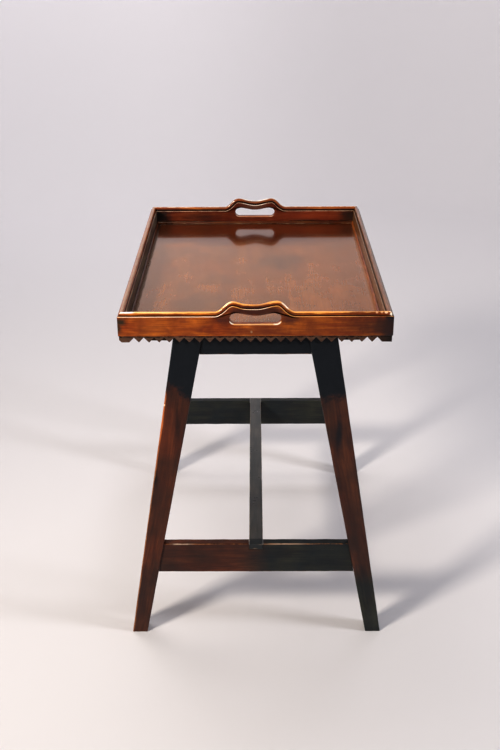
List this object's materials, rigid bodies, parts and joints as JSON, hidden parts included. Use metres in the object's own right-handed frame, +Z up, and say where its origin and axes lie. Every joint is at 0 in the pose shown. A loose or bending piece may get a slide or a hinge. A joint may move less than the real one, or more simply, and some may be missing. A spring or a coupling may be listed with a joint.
{
  "type": "butler tray on stand",
  "caption": "Rectangular mahogany tray with arched handholds and a toothed apron, lying loose on a stand with splayed legs.",
  "frame": {"origin": "on the ground under the middle of the tray", "axes": "+Z up, +X across the tray to its right, +Y along the tray from the near handhold to the far one"},
  "size_m": [0.5216, 0.706, 0.7478],
  "materials": {
    "polished_wall_mahogany": "french polished, worn along the beads",
    "polished_floor_mahogany": "figured, high polish",
    "dull_apron_mahogany": "dull, worn",
    "dark_stand_mahogany": "dark stained, waxed",
    "bare_underside_mahogany": "unpolished"
  },
  "bodies": {
    "stand": {"leg_front_left": "dark_stand_mahogany", "leg_front_right": "dark_stand_mahogany", "leg_back_left": "dark_stand_mahogany", "leg_back_right": "dark_stand_mahogany", "top_rail_front": "dark_stand_mahogany", "top_rail_back": "dark_stand_mahogany", "top_rail_left": "dark_stand_mahogany", "top_rail_right": "dark_stand_mahogany", "lower_rail_front": "dark_stand_mahogany", "lower_rail_back": "dark_stand_mahogany", "stretcher": "dark_stand_mahogany"},
    "tray": {"tray_floor": "polished_floor_mahogany", "end_wall_front": "polished_wall_mahogany", "end_wall_back": "polished_wall_mahogany", "side_wall_left": "polished_wall_mahogany", "side_wall_right": "polished_wall_mahogany", "cove_front": "polished_wall_mahogany", "cove_back": "polished_wall_mahogany", "cove_left": "polished_wall_mahogany", "cove_right": "polished_wall_mahogany", "toothed_apron_front": "dull_apron_mahogany", "toothed_apron_back": "dull_apron_mahogany", "toothed_apron_left": "dull_apron_mahogany", "toothed_apron_right": "dull_apron_mahogany", "floor_batten_left": "bare_underside_mahogany", "floor_batten_right": "bare_underside_mahogany"}
  },
  "joints": [
    {"name": "tray_lift", "type": "slide", "parent": "stand", "child": "tray", "axis": [0, 0, 1], "range_m": [0, 0.15]}
  ]
}
